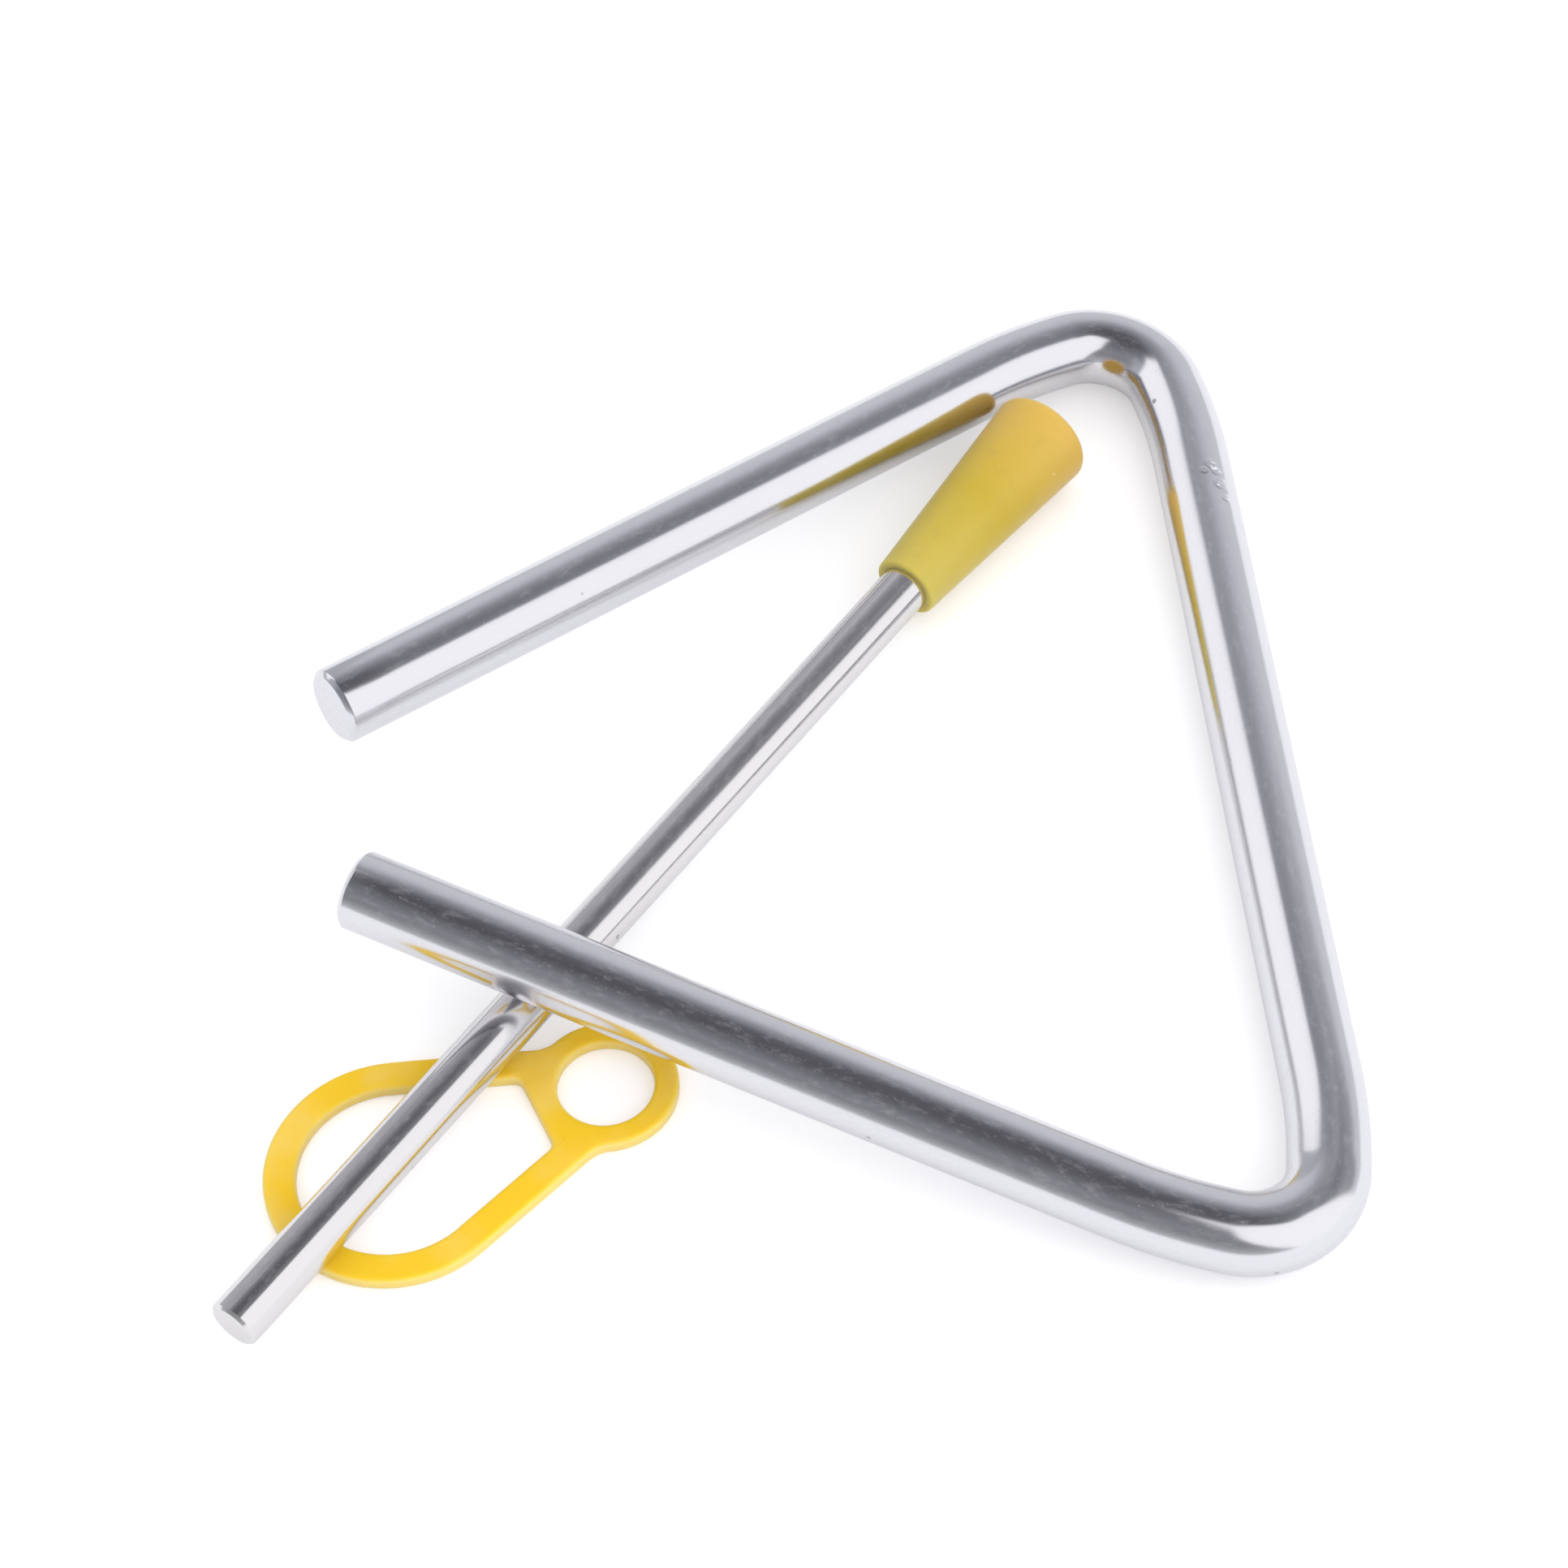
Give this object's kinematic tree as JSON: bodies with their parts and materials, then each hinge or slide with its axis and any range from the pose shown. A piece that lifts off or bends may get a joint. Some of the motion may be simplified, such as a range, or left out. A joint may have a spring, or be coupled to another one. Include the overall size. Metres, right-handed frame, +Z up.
{
  "type": "triangle instrument",
  "caption": "Open triangle percussion instrument of bent round bar, lying with its straight metal beater in a tapered soft grip and a flat finger holder that has a loop and a ring.",
  "frame": {"origin": "the middle of the whole layout's footprint, at the height of the table that the pieces lie on", "axes": "+Z up; +Y along the triangle's straight side, from its lower bend to its upper bend; +X from the triangle's open corner towards that side"},
  "size_m": [0.1094, 0.12, 0.017],
  "materials": {
    "bar_plating": "bright plating with faint draw lines",
    "rod_plating": "bright plating",
    "soft_grip": "satin, slightly see-through",
    "holder_plastic": "semi-gloss moulding"
  },
  "bodies": {
    "holder": {"finger_holder": "holder_plastic"},
    "beater": {"beater_rod": "rod_plating", "beater_grip": "soft_grip"},
    "triangle": {"triangle_bar": "bar_plating"}
  },
  "joints": [
    {"name": "beater_lift", "type": "slide", "parent": "holder", "child": "beater", "axis": [0, 0, 1], "range_m": [0, 0.1]},
    {"name": "triangle_lift", "type": "slide", "parent": "beater", "child": "triangle", "axis": [0, 0, 1], "range_m": [0, 0.1]}
  ]
}
